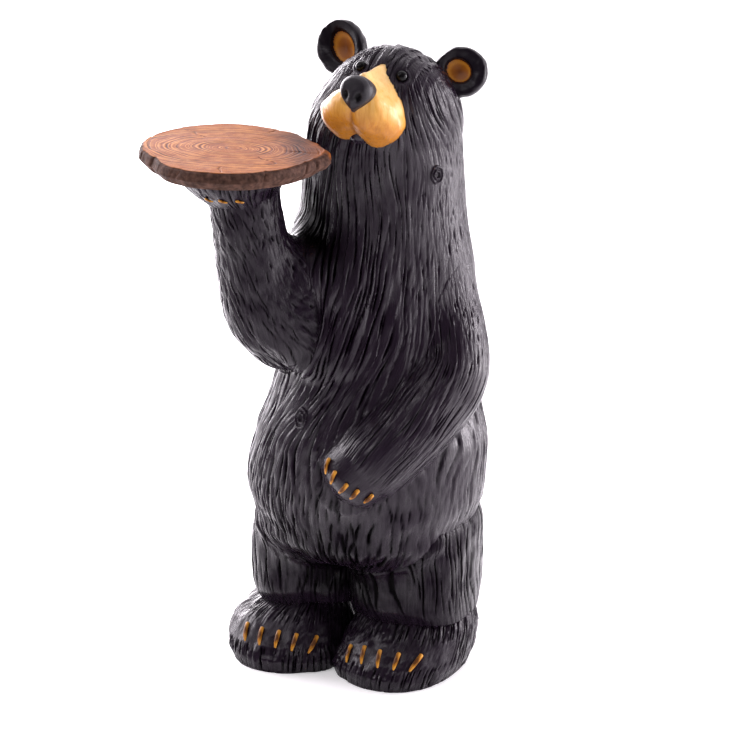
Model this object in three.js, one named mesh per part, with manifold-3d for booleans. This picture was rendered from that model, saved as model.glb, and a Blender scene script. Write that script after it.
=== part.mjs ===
// A standing black bear that carries a round wooden serving tray on its raised right paw.
// Millimetres, +Z up. The bear faces -Y and its left side is towards +X.
// The origin is on the floor, under the middle of the figure.

import * as THREE from "three";
import { mergeVertices } from "three/addons/utils/BufferGeometryUtils.js";
import Module from "manifold-3d";

const wasm = await Module();
wasm.setup();

// ---- Driving dimensions ----

const fitGap = 0.3; // air between pieces that touch
const degree = Math.PI / 180;

const furDepth = { trunk: 3.2, leg: 2.4, arm: 2.0, foot: 1.6 }; // how far a lock stands out or falls back
const lockLength = 72; // one lock of fur, root to tip

const tray = {
  centre: [-111, -167],
  underside: 708,
  thickness: 22,
  radii: [122, 129, 124, 118, 108, 118, 131, 126, 114, 107], // evenly spaced, from the front towards +X
  rimBulge: 4,
  edgeChamfer: 2.5,
  sides: 50,
};

const head = { centre: [36, 0, 762], yaw: 3, pitch: 18, roll: 8 }; // degrees

const eye = { radius: 7.5, clearance: 0.45, sides: 12 };
const eyePlaces = {
  right: { beside: -20, above: 36, ahead: 87 },
  left: { beside: 36, above: 36, ahead: 89 },
};

const ear = { beside: 84, above: 60, ahead: 4, turn: 9, halfWidth: 32, halfHeight: 34, sides: 18 };

// Upright forms. Each row: height, centre x, centre y, half width, depth to the front, depth to the back.
const trunkRows = [
  [212, 2, -6, 147, 150, 118],
  [250, 4, -8, 156, 158, 124],
  [290, 8, -10, 157, 161, 128],
  [330, 12, -10, 150, 158, 128],
  [375, 15, -8, 138, 150, 124],
  [440, 16, -4, 126, 134, 118],
  [500, 17, 0, 120, 120, 112],
  [560, 19, 2, 115, 110, 106],
  [620, 22, 4, 110, 104, 102],
  [680, 24, 2, 104, 99, 100],
  [725, 27, -2, 100, 96, 98],
];
const legRows = {
  right: [
    [82, -71, 4, 81, 76, 78],
    [115, -70, 4, 87, 86, 92],
    [200, -69, 0, 86, 92, 98],
  ],
  left: [
    [82, 68, 4, 82, 76, 80],
    [115, 68, 4, 86, 86, 94],
    [200, 67, 0, 85, 92, 98],
  ],
};
const footRows = {
  right: [
    [0, -99, -6, 86, 106, 84],
    [18, -100, -6, 90, 110, 88],
    [40, -100, -4, 85, 100, 84],
    [64, -98, 0, 74, 80, 76],
    [84, -94, 4, 62, 64, 64],
  ],
  left: [
    [0, 63, -6, 78, 106, 84],
    [18, 63, -6, 83, 110, 88],
    [40, 65, -4, 82, 100, 89],
    [64, 69, 0, 75, 80, 83],
    [84, 73, 4, 65, 64, 70],
  ],
};
const palmRows = [
  [660, -100, -160, 45, 46, 46],
  [673, -106, -164, 54, 54, 52],
  [686, -110, -166, 64, 62, 60],
  [697, -111, -167, 68, 66, 63],
  [tray.underside - fitGap, -111, -167, 69, 67, 64],
];

// Limbs. Each row: a point of the centre line, then the two half widths of the section there.
const leftArmPath = [
  [78, 8, 614, 38, 46],
  [100, 3, 548, 46, 53],
  [120, -12, 478, 49, 55],
  [132, -44, 418, 54, 55],
  [109, -98, 370, 55, 55],
  [70, -138, 332, 51, 51],
  [44, -154, 308, 46, 45],
];
const rightShoulderPath = [
  [-40, 0, 576, 50, 54],
  [-70, -50, 534, 56, 59],
  [-82, -98, 486, 54, 54],
];
const rightForearmPath = [
  [-80, -112, 468, 46, 46],
  [-82, -132, 510, 51, 50],
  [-88, -144, 560, 50, 50],
  [-92, -152, 610, 47, 46],
  [-97, -159, 656, 46, 45],
  [-99, -161, 680, 48, 47],
];

// The muzzle and nose, in the head's own frame. Each row: distance ahead, middle height,
// half width at the top, half width at the bottom, reach up, reach down.
const muzzleRows = [
  [60, -9, 14, 54, 50, 50],
  [100, -11, 13, 54, 50, 48],
  [122, -9, 11, 45, 40, 39],
  [138, -5, 10, 31, 30, 29],
  [146, -3, 8, 18, 18, 16],
];
const noseRows = [
  [126, 2, 22, 4, 17, 20],
  [142, 2, 25, 4, 20, 24],
  [154, 3, 23, 4, 18, 21],
  [160, 4, 14, 3, 11, 12],
];
const muzzleShape = { around: 32, along: 8, bridge: 15, cleft: 0.24, cleftAt: 4 };
const noseShape = { around: 16, along: 4, beside: 6, skew: 0.2 };
const chin = { radius: 16, above: -42, ahead: 88, sides: 12 };

// ---- Curves and surfaces ----

// A smooth curve through the rows; the first number of each row is the place along it.
function throughRows(rows, place) {
  const last = rows.length - 1;
  let i = 0;
  while (i < last - 1 && place >= rows[i + 1][0]) i += 1;
  const slope = (j, k) => (rows[j + 1][k] - rows[j][k]) / (rows[j + 1][0] - rows[j][0]);
  const tangent = (j, k) => {
    if (j === 0) return slope(0, k);
    if (j === last) return slope(last - 1, k);
    const before = rows[j][0] - rows[j - 1][0];
    const after = rows[j + 1][0] - rows[j][0];
    return (slope(j - 1, k) * after + slope(j, k) * before) / (before + after);
  };
  const step = rows[i + 1][0] - rows[i][0];
  const s = (place - rows[i][0]) / step;
  return rows[i].slice(1).map((value, n) => {
    const k = n + 1;
    return (
      (2 * s ** 3 - 3 * s ** 2 + 1) * value +
      (s ** 3 - 2 * s ** 2 + s) * step * tangent(i, k) +
      (3 * s ** 2 - 2 * s ** 3) * rows[i + 1][k] +
      (s ** 3 - s ** 2) * step * tangent(i + 1, k)
    );
  });
}

// The rows of sections along a form: a round cap, the body, and a round cap.
// Each gives its place along the form, the scale of the section and how far it stands past the end.
function sectionsAlong(from, to, caps, along, capSteps) {
  const sections = [];
  for (let i = 0; i < capSteps[0]; i += 1) {
    const angle = (Math.PI / 2) * (1 - i / capSteps[0]);
    sections.push({ place: from, scale: Math.cos(angle), past: -Math.sin(angle) * caps[0] });
  }
  for (let i = 0; i <= along; i += 1) {
    sections.push({ place: from + ((to - from) * i) / along, scale: 1, past: 0 });
  }
  for (let i = 1; i <= capSteps[1]; i += 1) {
    const angle = (Math.PI / 2) * (i / capSteps[1]);
    sections.push({ place: to, scale: Math.cos(angle), past: Math.sin(angle) * caps[1] });
  }
  return sections;
}

// A closed surface from rings of points. The first and the last ring shrink to one point each.
function closedSurface(rings) {
  const around = rings[0].length;
  const count = rings.length;
  const positions = [];
  const faces = [];
  rings.slice(1, -1).forEach((ring) => ring.forEach((p) => positions.push(...p)));
  const start = positions.length / 3;
  positions.push(...rings[0][0], ...rings[count - 1][0]);
  const at = (i, j) => (i - 1) * around + (j % around);
  for (let j = 0; j < around; j += 1) {
    faces.push(start, at(1, j + 1), at(1, j));
    faces.push(start + 1, at(count - 2, j), at(count - 2, j + 1));
    for (let i = 1; i < count - 2; i += 1) {
      faces.push(at(i, j), at(i, j + 1), at(i + 1, j + 1));
      faces.push(at(i, j), at(i + 1, j + 1), at(i + 1, j));
    }
  }
  const geometry = new THREE.BufferGeometry();
  geometry.setAttribute("position", new THREE.Float32BufferAttribute(positions, 3));
  geometry.setIndex(signedVolume(positions, faces) < 0 ? faces.reverse() : faces);
  return geometry;
}

function signedVolume(positions, faces) {
  const corner = (i) => new THREE.Vector3().fromArray(positions, 3 * i);
  let volume = 0;
  for (let f = 0; f < faces.length; f += 3) {
    const [a, b, c] = [corner(faces[f]), corner(faces[f + 1]), corner(faces[f + 2])];
    volume += a.dot(b.cross(c)) / 6;
  }
  return volume;
}

const ringAngles = (count) => Array.from({ length: count }, (_, j) => -Math.PI + (2 * Math.PI * j) / count);
const rounded = (value, squareness) => Math.sign(value) * Math.abs(value) ** (2 / squareness);

// An upright form: level sections, each half of an ellipse to the front and half of one to the back.
function column(rows, options) {
  const { around, along, caps = [0, 0], capSteps = [1, 1], squareness = 2 } = options;
  const { lean = [0, 0], tilt = [0, 0], capPower = 1, relief = () => 0 } = options;
  const bottom = rows[0][0];
  const top = rows[rows.length - 1][0];
  const rings = sectionsAlong(bottom, top, caps, along, capSteps).map(({ place, scale, past }) => {
    const [cx, cy, halfWidth, front, back] = throughRows(rows, place);
    const rise = Math.max(past, 0);
    const share = rise > 0 ? scale ** capPower : scale;
    return ringAngles(around).map((angle, j) => {
      const out = relief(j, place + past, angle) * Math.min(1, 1.6 * scale);
      const depth = Math.cos(angle) > 0 ? front : back;
      const dx = (halfWidth + out) * share * rounded(Math.sin(angle), squareness);
      const dy = -(depth + out) * share * rounded(Math.cos(angle), squareness);
      const dz = caps[1] > 0 ? (-(tilt[0] * dx + tilt[1] * dy) * rise) / caps[1] : 0;
      return [cx + dx + lean[0] * rise, cy + dy + lean[1] * rise, place + past + dz];
    });
  });
  return closedSurface(rings);
}

// A form along a bent centre line, with elliptical sections square to it.
function limb(path, options) {
  const { around, along, caps, capSteps = [4, 4], across = [1, 0, 0], relief = () => 0 } = options;
  let length = 0;
  const rows = path.map((row, i) => {
    if (i > 0) length += Math.hypot(...[0, 1, 2].map((k) => row[k] - path[i - 1][k]));
    return [length, ...row];
  });
  const centre = (place) => new THREE.Vector3(...throughRows(rows, place).slice(0, 3));
  const rings = sectionsAlong(0, length, caps, along, capSteps).map(({ place, scale, past }) => {
    const [, , , halfA, halfB] = throughRows(rows, place);
    const ahead = centre(Math.min(place + 1, length));
    const direction = ahead.sub(centre(Math.max(place - 1, 0))).normalize();
    const sideways = new THREE.Vector3(...across);
    sideways.addScaledVector(direction, -sideways.dot(direction)).normalize();
    const other = new THREE.Vector3().crossVectors(direction, sideways);
    const middle = centre(place).addScaledVector(direction, past);
    return ringAngles(around).map((angle, j) => {
      const out = relief(j, place + past, angle) * Math.min(1, 1.6 * scale);
      return middle
        .clone()
        .addScaledVector(sideways, (halfA + out) * scale * Math.cos(angle))
        .addScaledVector(other, (halfB + out) * scale * Math.sin(angle))
        .toArray();
    });
  });
  return closedSurface(rings);
}

// Locks of fur: ridge and furrow by turns round the form, each lock swelling and fading along its
// length and starting at a height of its own, so that neighbours are staggered.
function furLocks(depth, fade = () => 1) {
  return (j, place, angle) => {
    const start = Math.sin(12.9898 * (Math.floor(j / 2) + 1)) * 43.7;
    const swell = 0.62 + 0.38 * Math.cos((2 * Math.PI * place) / lockLength + start);
    return depth * (j % 2 === 0 ? 1 : -1) * swell * fade(place, angle);
  };
}

// ---- The head's own frame: x to the bear's left, y up, z straight ahead ----

function headFrame() {
  const [yaw, pitch, roll] = [head.yaw * degree, head.pitch * degree, head.roll * degree];
  const ahead = new THREE.Vector3(
    Math.sin(yaw) * Math.cos(pitch),
    -Math.cos(yaw) * Math.cos(pitch),
    Math.sin(pitch)
  );
  const level = new THREE.Vector3(Math.cos(yaw), Math.sin(yaw), 0);
  const upright = new THREE.Vector3().crossVectors(ahead, level);
  const left = level.clone().multiplyScalar(Math.cos(roll)).addScaledVector(upright, -Math.sin(roll));
  const up = upright.clone().multiplyScalar(Math.cos(roll)).addScaledVector(level, Math.sin(roll));
  return new THREE.Matrix4().makeBasis(left, up, ahead).setPosition(...head.centre);
}

const onHead = headFrame();

// A block whose width changes from its top to its bottom as spread says, for a share 0 to 1 of the way
// down. It leans sideways by skew, its upper edge bends aside by bridge, and the cleft draws in its lower edge.
function wedge(rows, options) {
  const { around, along, spread, cleft = 0, cleftAt = 0, beside = 0, skew = 0, bridge = 0 } = options;
  const first = rows[0][0];
  const last = rows[rows.length - 1][0];
  const rings = sectionsAlong(first, last, [0, 0], along, [1, 1]).map(({ place, scale }) => {
    const [middle, topHalf, bottomHalf, reachUp, reachDown] = throughRows(rows, place);
    return ringAngles(around).map((angle) => {
      const half = topHalf + (bottomHalf - topHalf) * spread((1 - Math.cos(angle)) / 2);
      const across = half * scale * rounded(Math.sin(angle), 2.2);
      const notch = Math.cos(angle) < 0 ? cleft * Math.exp(-(((across - cleftAt) / 11) ** 2)) : 0;
      const reach = (Math.cos(angle) > 0 ? reachUp : reachDown) * (1 - notch);
      const height = middle + reach * scale * rounded(Math.cos(angle), 2.2);
      const bend = bridge * (Math.max(0, height + 5) / 45) ** 2;
      return [beside + across + skew * height + bend, height, place];
    });
  });
  return closedSurface(rings).applyMatrix4(onHead);
}

function headBall(place, radius, sides) {
  const ball = new THREE.SphereGeometry(radius, sides, Math.round((2 * sides) / 3));
  ball.deleteAttribute("normal");
  ball.deleteAttribute("uv");
  ball.translate(place.beside, place.above, place.ahead);
  return mergeVertices(ball.applyMatrix4(onHead), 1e-4);
}

// A round ear, dished in front: its profile turned round an axis that points ahead and outwards.
function roundEar(side) {
  const profile = [
    [0, -19],
    [0.62, -18],
    [0.92, -11],
    [1, -1],
    [0.95, 6],
    [0.84, 8],
    [0.6, 3],
    [0.5, 0],
    [0, -1],
  ];
  const rings = profile.map(([reach, depth]) =>
    ringAngles(ear.sides).map((angle) => [
      reach * ear.halfWidth * Math.sin(angle),
      reach * ear.halfHeight * Math.cos(angle),
      depth,
    ])
  );
  const turn = new THREE.Matrix4().makeRotationY(side * ear.turn * degree);
  turn.setPosition(side * ear.beside, ear.above, ear.ahead);
  return closedSurface(rings).applyMatrix4(turn).applyMatrix4(onHead);
}

// ---- Joining and cutting ----

function asSolid(geometry) {
  const welded = mergeVertices(geometry.clone(), 1e-4);
  return new wasm.Manifold(
    new wasm.Mesh({
      numProp: 3,
      vertProperties: Float32Array.from(welded.attributes.position.array),
      triVerts: Uint32Array.from(welded.index.array),
    })
  );
}

function asGeometry(solid) {
  const mesh = solid.getMesh();
  const geometry = new THREE.BufferGeometry();
  geometry.setAttribute("position", new THREE.BufferAttribute(mesh.vertProperties, 3));
  geometry.setIndex(new THREE.BufferAttribute(mesh.triVerts, 1));
  return geometry;
}

const join = (geometries) => geometries.map(asSolid).reduce((all, next) => all.add(next));

// ---- The pieces ----

function trunk() {
  const faceStart = 690;
  const fade = (height, angle) => {
    const towardsFace = Math.max(0, Math.cos(angle)) * Math.min(1, Math.max(0, (height - faceStart) / 50));
    const overhead = Math.min(1, Math.max(0.15, (850 - height) / 60));
    return (1 - 0.85 * towardsFace) * overhead;
  };
  return column(trunkRows, {
    around: 62,
    along: 21,
    caps: [62, 121],
    capSteps: [3, 6],
    capPower: 1.02,
    lean: [0.24, -0.26],
    tilt: [0.1, 0],
    relief: furLocks(furDepth.trunk, fade),
  });
}

function leg(rows) {
  return column(rows, {
    around: 32,
    along: 4,
    caps: [8, 60],
    capSteps: [2, 1],
    squareness: 2.2,
    relief: furLocks(furDepth.leg),
  });
}

function foot(rows) {
  return column(rows, {
    around: 32,
    along: 5,
    caps: [0, 14],
    capSteps: [1, 2],
    squareness: 2.3,
    relief: furLocks(furDepth.foot, (height) => (height > 1 ? 1 : 0)),
  });
}

function bearForms() {
  const cheeks = (low) => Math.sin((Math.min(1, 1.5 * low) * Math.PI) / 2);
  const armFur = furLocks(furDepth.arm, (place) => Math.min(1, Math.max(0, (330 - place) / 60)));
  return [
    trunk(),
    leg(legRows.right),
    leg(legRows.left),
    foot(footRows.right),
    foot(footRows.left),
    limb(leftArmPath, { around: 24, along: 13, caps: [40, 26], across: [0.7, 0.7, 0], relief: armFur }),
    limb(rightShoulderPath, { around: 20, along: 3, caps: [40, 40], capSteps: [2, 3] }),
    limb(rightForearmPath, { around: 24, along: 9, caps: [40, 8], capSteps: [4, 2], relief: furLocks(furDepth.arm) }),
    column(palmRows, { around: 26, along: 4, caps: [6, 0], capSteps: [1, 1] }),
    wedge(muzzleRows, { ...muzzleShape, spread: cheeks }),
    wedge(noseRows, { ...noseShape, spread: (low) => low ** 1.5 }),
    headBall({ beside: 0, ...chin }, chin.radius, chin.sides),
    roundEar(-1),
    roundEar(1),
  ];
}

function bear() {
  const body = join(bearForms());
  const socketRadius = eye.radius + eye.clearance;
  const sockets = Object.values(eyePlaces).map((place) => asSolid(headBall(place, socketRadius, eye.sides)));
  return asGeometry(sockets.reduce((all, socket) => all.subtract(socket), body));
}

// A slab sawn across a trunk: level faces, a bulging edge of bark and a small chamfer round the top.
function traySlab() {
  const radii = tray.radii;
  const rows = Array.from({ length: radii.length + 5 }, (_, i) => {
    const k = (i - 2 + radii.length) % radii.length;
    return [i - 2, radii[k]];
  });
  const reach = (angle) => {
    const turn = (angle / (2 * Math.PI) + 1) % 1;
    return throughRows(rows, turn * radii.length)[0] + 1.5 * Math.sin(9 * angle);
  };
  const top = tray.underside + tray.thickness;
  const profile = [
    [0, tray.underside, 0],
    [1, tray.underside, -2],
    [1, tray.underside + 0.45 * tray.thickness, tray.rimBulge],
    [1, top - tray.edgeChamfer, 1.5],
    [1, top, -tray.edgeChamfer],
    [0, top, 0],
  ];
  const rings = profile.map(([share, height, out]) =>
    ringAngles(tray.sides).map((angle) => {
      const radius = share * (reach(angle) + out);
      return [
        tray.centre[0] + radius * Math.sin(angle),
        tray.centre[1] - radius * Math.cos(angle),
        height,
      ];
    })
  );
  return closedSurface(rings);
}

// ---- The scene graph ----

function named(name, geometry, finish) {
  const mesh = new THREE.Mesh(geometry, new THREE.MeshStandardMaterial(finish));
  mesh.name = name;
  return mesh;
}

const blackPaint = { color: "#2b292e", roughness: 0.45, metalness: 0 };
const eyeGloss = { color: "#0c0b0d", roughness: 0.08, metalness: 0 };
const trayWood = { color: "#a5633c", roughness: 0.5, metalness: 0 };

const sculpture = new THREE.Group();
sculpture.add(
  named("bear", bear(), blackPaint),
  named("tray", traySlab(), trayWood),
  named("eye_right", headBall(eyePlaces.right, eye.radius, eye.sides), eyeGloss),
  named("eye_left", headBall(eyePlaces.left, eye.radius, eye.sides), eyeGloss)
);

export default sculpture;
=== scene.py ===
import math

import bpy
import numpy as np
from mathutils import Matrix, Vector


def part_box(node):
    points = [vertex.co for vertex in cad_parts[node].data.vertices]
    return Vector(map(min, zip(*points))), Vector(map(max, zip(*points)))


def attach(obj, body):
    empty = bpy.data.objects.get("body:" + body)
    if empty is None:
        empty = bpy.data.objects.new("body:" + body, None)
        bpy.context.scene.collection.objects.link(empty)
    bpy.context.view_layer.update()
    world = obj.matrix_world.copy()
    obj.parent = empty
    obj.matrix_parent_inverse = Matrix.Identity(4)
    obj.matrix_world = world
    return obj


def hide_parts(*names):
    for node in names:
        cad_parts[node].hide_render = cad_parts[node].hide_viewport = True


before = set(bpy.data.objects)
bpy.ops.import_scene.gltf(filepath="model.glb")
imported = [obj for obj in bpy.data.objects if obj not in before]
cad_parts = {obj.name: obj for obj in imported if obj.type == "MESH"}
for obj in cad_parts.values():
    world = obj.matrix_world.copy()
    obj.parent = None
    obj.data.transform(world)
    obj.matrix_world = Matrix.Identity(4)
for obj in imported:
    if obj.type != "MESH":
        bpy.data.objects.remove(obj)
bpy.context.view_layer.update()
mm = 0.001
turn = 2 * math.pi
sharpEdge = math.radians(50)  # edges that bend more than this are shaded as sharp


# small tools: lengths are in mm, angles in radians, and theta or psi goes round a form from its front


def smooth(low, high, value):
    # 0 below low, 1 above high, and 3s^2 - 2s^3 between them
    s = np.clip((value - low) / (high - low), 0, 1)
    return s * s * (3 - 2 * s)


def chance(a, b, seed):
    # a number from 0 to 1 for each pair of whole numbers: the fraction of a large sine
    s = np.sin(a * 127.1 + b * 311.7 + seed * 74.7) * 43758.5453
    return s - np.floor(s)


def bell(offset, width):
    # 1 in the middle and down to 0 on both sides: e to the minus (offset / width) squared
    return np.exp(-((offset / width) ** 2))


def turns(count):
    # evenly spaced angles round a form, as one row
    return np.linspace(-math.pi, math.pi, count, endpoint=False)[None]


def softNoise(x, y, seed, period=0):
    # random numbers at whole x and y, blended smoothly between them, from -1 to 1; x may repeat
    i, j = np.floor(x), np.floor(y)
    s, t = smooth(0, 1, x - i), smooth(0, 1, y - j)
    wrap = (lambda k: np.mod(k, period)) if period else (lambda k: k)
    rows = [
        chance(wrap(i), j + k, seed) * (1 - s) + chance(wrap(i + 1), j + k, seed) * s
        for k in (0, 1)
    ]
    return 2 * (rows[0] * (1 - t) + rows[1] * t) - 1


def gouged(x, y, period, cut, seed):
    # Strokes side by side along y, one to a column, between lines that wander but never cross. Height in
    # mm: each stroke is tipped sideways and raised by amounts that change along it, and V grooves come
    # and go on the lines, more of them the greater "often" is. Also how far down a groove each place is,
    # 0 to 1. In a cut, length is mm, width is half a groove in columns, and depth, tip and step are mm.
    column = np.floor(x)
    length = cut["length"]

    def line(k):
        return k + 0.46 * softNoise(np.mod(k, period), y / length, seed)

    stroke = column + np.where(x < line(column), -1, np.where(x >= line(column + 1), 1, 0))
    left, right = line(stroke), line(stroke + 1)
    nearRight = right - x < x - left
    gap = np.minimum(x - left, right - x)
    comeAndGo = softNoise(np.mod(stroke + nearRight, period), y / length * 1.7, seed + 9)
    vary = np.clip(cut.get("often", 0.5) + 1.1 * comeAndGo, 0, 1.2)
    groove = np.clip(1 - gap / cut["width"], 0, 1) ** 1.5 * vary
    name = np.mod(stroke, period)
    tipped = 2 * (x - left) / (right - left) - 1
    facet = cut["tip"] * tipped * softNoise(name, y / length * 1.2, seed + 3)
    return facet + cut["step"] * softNoise(name, y / length * 1.5, seed + 4) - cut["depth"] * groove, groove


def unrolled(psi, along, columns):
    # the grid rolled out flat: x counts columns round the form, y is mm along it
    return (psi / turn + 0.5) * columns + 0 * along, along + 0 * psi


def strokes(form, psi, along, seed):
    # gouge strokes along a form in wavy columns, over broad low swells and with small ripples on them
    columns, cut = form["columns"], form["cut"]
    x, y = unrolled(psi, along, columns)
    broad = 8  # columns that wander and swell together
    wave = cut["wave"] * softNoise(x / broad, y / 75, seed + 5, columns // broad)
    height, groove = gouged(x + wave + cut.get("lean", 0) * y, y, columns, cut, seed)
    swell = cut["broad"] * softNoise(x / broad, y / 60, seed + 31, columns // broad)
    return height + swell + 0.5 * softNoise(x, y / 12, seed + 41, columns), groove


def through(rows, place):
    # smooth curve through the rows: cubic pieces whose slope at a row is the mean of its neighbours',
    # weighted by the nearer one
    rows = np.array(rows, float)
    x, values = rows[:, 0], rows[:, 1:]
    step = np.diff(x)[:, None]
    slope = np.diff(values, axis=0) / step
    inner = (slope[:-1] * step[1:] + slope[1:] * step[:-1]) / (step[1:] + step[:-1])
    tangent = np.vstack([slope[:1], inner, slope[-1:]])
    place = np.asarray(place, float)
    i = np.clip(np.searchsorted(x, place, side="right") - 1, 0, len(step) - 1)
    h = step[i]
    s = ((place - x[i]) / h[..., 0])[..., None]
    return (
        (2 * s**3 - 3 * s**2 + 1) * values[i]
        + (s**3 - 2 * s**2 + s) * h * tangent[i]
        + (3 * s**2 - 2 * s**3) * values[i + 1]
        + (s**3 - s**2) * h * tangent[i + 1]
    )


def sections(start, end, caps, counts):
    # rows of a form: a round cap, the body and a round cap. Each row has its place, its scale and how far
    # past the end it lies; scale and past are the cosine and sine of a quarter turn.
    first = turn / 4 * (1 - np.arange(counts[0]) / counts[0])
    last = turn / 4 * np.arange(1, counts[2] + 1) / counts[2]
    body = np.linspace(start, end, counts[1])
    place = np.concatenate([np.full(counts[0], start), body, np.full(counts[2], end)])
    scale = np.concatenate([np.cos(first), np.ones(counts[1]), np.cos(last)])
    past = np.concatenate([-np.sin(first) * caps[0], np.zeros(counts[1]), np.sin(last) * caps[1]])
    scale[[0, -1]] = 0
    return place, scale, past


def rounded(value, squareness):
    # |value| to the power 2 / squareness, with its sign: 2 gives an ellipse, more gives a squarer section
    return np.sign(value) * np.abs(value) ** (2 / squareness)


def column(form, theta, place, scale, past):
    # level sections, half an ellipse to the front and half one to the back: x = cx + half * sin(theta),
    # y = cy - depth * cos(theta), with a dome on top that leans and tips
    cx, cy, half, front, back = through(form["rows"], place).T[:, :, None]
    scale, past, place = scale[:, None], past[:, None], place[:, None]
    square, lean, tilt = form.get("square", 2), form.get("lean", (0, 0)), form.get("tilt", (0, 0))
    rise = np.maximum(past, 0)
    share = np.where(rise > 0, scale ** form.get("capPower", 1), scale)
    depth = np.where(np.cos(theta) > 0, front, back)
    dx = half * share * rounded(np.sin(theta), square)
    dy = -depth * share * rounded(np.cos(theta), square)
    dz = -(tilt[0] * dx + tilt[1] * dy) * rise / max(form["caps"][1], 1)
    return np.stack([cx + dx + lean[0] * rise, cy + dy + lean[1] * rise, place + past + dz], axis=-1)


def limbRows(path):
    # the rows of a path, each with how far along it lies: the sum of the straight steps
    steps = np.linalg.norm(np.diff(np.array(path)[:, :3], axis=0), axis=1)
    return np.column_stack([np.concatenate([[0], np.cumsum(steps)]), path])


def limb(form, theta, place, scale, past):
    # elliptical sections square to a bent centre line: centre + half a * cos(theta) + half b * sin(theta)
    rows = limbRows(form["path"])
    length = rows[-1, 0]
    centre = through(rows, place)
    before, after = through(rows, np.maximum(place - 1, 0)), through(rows, np.minimum(place + 1, length))
    ahead = after[:, :3] - before[:, :3]
    ahead /= np.linalg.norm(ahead, axis=1, keepdims=True)
    side = np.array(form.get("across", (1, 0, 0)), float) + 0 * ahead
    side -= ahead * np.sum(side * ahead, axis=1, keepdims=True)
    side /= np.linalg.norm(side, axis=1, keepdims=True)
    other = np.cross(ahead, side)
    middle = centre[:, :3] + ahead * past[:, None]
    a, b = centre[:, 3:4] * scale[:, None] * np.cos(theta), centre[:, 4:5] * scale[:, None] * np.sin(theta)
    return middle[:, None] + side[:, None] * a[..., None] + other[:, None] * b[..., None]


def outward(points):
    # unit normal at each grid point: the cross product of the steps round and along, turned to point out
    roundStep = np.roll(points, -1, axis=1) - np.roll(points, 1, axis=1)
    normal = np.cross(roundStep, np.gradient(points, axis=0))
    normal[0], normal[-1] = normal[1].mean(axis=0), normal[-2].mean(axis=0)
    normal /= np.maximum(np.linalg.norm(normal, axis=-1, keepdims=True), 1e-9)
    fromMiddle = points - points.mean(axis=1, keepdims=True)
    return normal * np.sign(np.sum(normal * fromMiddle))


def raised(points, height):
    # every point moved along its normal by height, with each pole in the middle of the ring next to it
    moved = points + outward(points) * height[..., None]
    moved[0], moved[-1] = moved[1].mean(axis=0), moved[-2].mean(axis=0)
    return moved


def runAlong(points):
    # how far along the form each row is, measured on the surface
    steps = np.linalg.norm(np.diff(points, axis=0), axis=-1).mean(axis=1)
    return np.concatenate([[0], np.cumsum(steps)])


def limbGap(points, form):
    # how far each point is from a limb's skin: from the nearest of 40 balls strung on its centre line
    rows = limbRows(form["path"])
    gap = np.inf
    for bead in through(rows, np.linspace(0, rows[-1, 0], 40)):
        gap = np.minimum(gap, np.linalg.norm(points - bead[:3], axis=-1) - bead[3:5].mean())
    return gap


def columnGap(points, form):
    # how far each point is from a column's skin, its round caps included: its distance from the middle
    # line times 1 - 1 / share, where share is that distance over the section's own reach
    z = np.clip(points[..., 2], form["rows"][0][0], form["rows"][-1][0])
    cx, cy, half, front, back = np.moveaxis(through(form["rows"], z), -1, 0)
    dx, dy, past = points[..., 0] - cx, points[..., 1] - cy, points[..., 2] - z
    cap = np.where(past < 0, max(form["caps"][0], 1), max(form["caps"][1], 1))
    share = np.sqrt((dx / half) ** 2 + (dy / np.where(dy < 0, front, back)) ** 2 + (past / cap) ** 2)
    return np.sqrt(dx**2 + dy**2 + past**2) * (1 - 1 / np.maximum(share, 0.05))


def blended(a, b, reach):
    # the smaller of two gaps, less a quarter of the reach where they are equal: a fillet between two skins
    return np.minimum(a, b) - reach / 4 * np.clip(1 - np.abs(a - b) / reach, 0, 1) ** 2


def fused(points, own, other, reach):
    # A soft join, as of clay pressed together. A point on its own skin moves up the slope of the blended
    # gap, four times, until that is nil. One that lies inside the other skin ends 3 mm beneath it. The
    # slope is worked out from steps of 1 mm along each axis.
    gap = other(points)
    near = (np.abs(gap) < reach(points)) & (reach(points) > 1)
    moved, start, beneath = points[near], own(points[near]), np.minimum(gap[near] + 3, 0)
    for _ in range(4):
        here, slope = None, []
        for step in ((0, 0, 0), (1, 0, 0), (0, 1, 0), (0, 0, 1)):
            at = moved + np.array(step, float)
            value = blended(own(at) - start, other(at), reach(at))
            here = value if here is None else here
            slope.append(value - here)
        slope = np.stack(slope[1:], -1)
        moved = moved - ((here - beneath) / np.maximum(np.sum(slope**2, -1), 0.25))[..., None] * slope
    points = points.copy()
    points[near] = moved
    return points


def skinPoint(form, angle, place):
    # one point of a form's skin, at an angle round it and a place along it, on a limb's round end too
    theta = np.array([[angle]])
    if "path" in form:
        length = limbRows(form["path"])[-1, 0]
        past = max(0.0, place - length)
        scale = math.sqrt(1 - (past / form["caps"][1]) ** 2)
        return limb(form, theta, np.array([min(place, length)]), np.array([scale]), np.array([past]))[0, 0]
    return column(form, theta, np.array([float(place)]), np.ones(1), np.zeros(1))[0, 0]


def skin(form, degrees, place):
    # a point of a form and its outward normal, from small steps round and along
    angle = math.radians(degrees)
    here = skinPoint(form, angle, place)
    roundStep = skinPoint(form, angle + 0.02, place) - here
    normal = np.cross(roundStep, skinPoint(form, angle, place + 0.5) - here)
    return here, normal / np.linalg.norm(normal)


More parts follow.
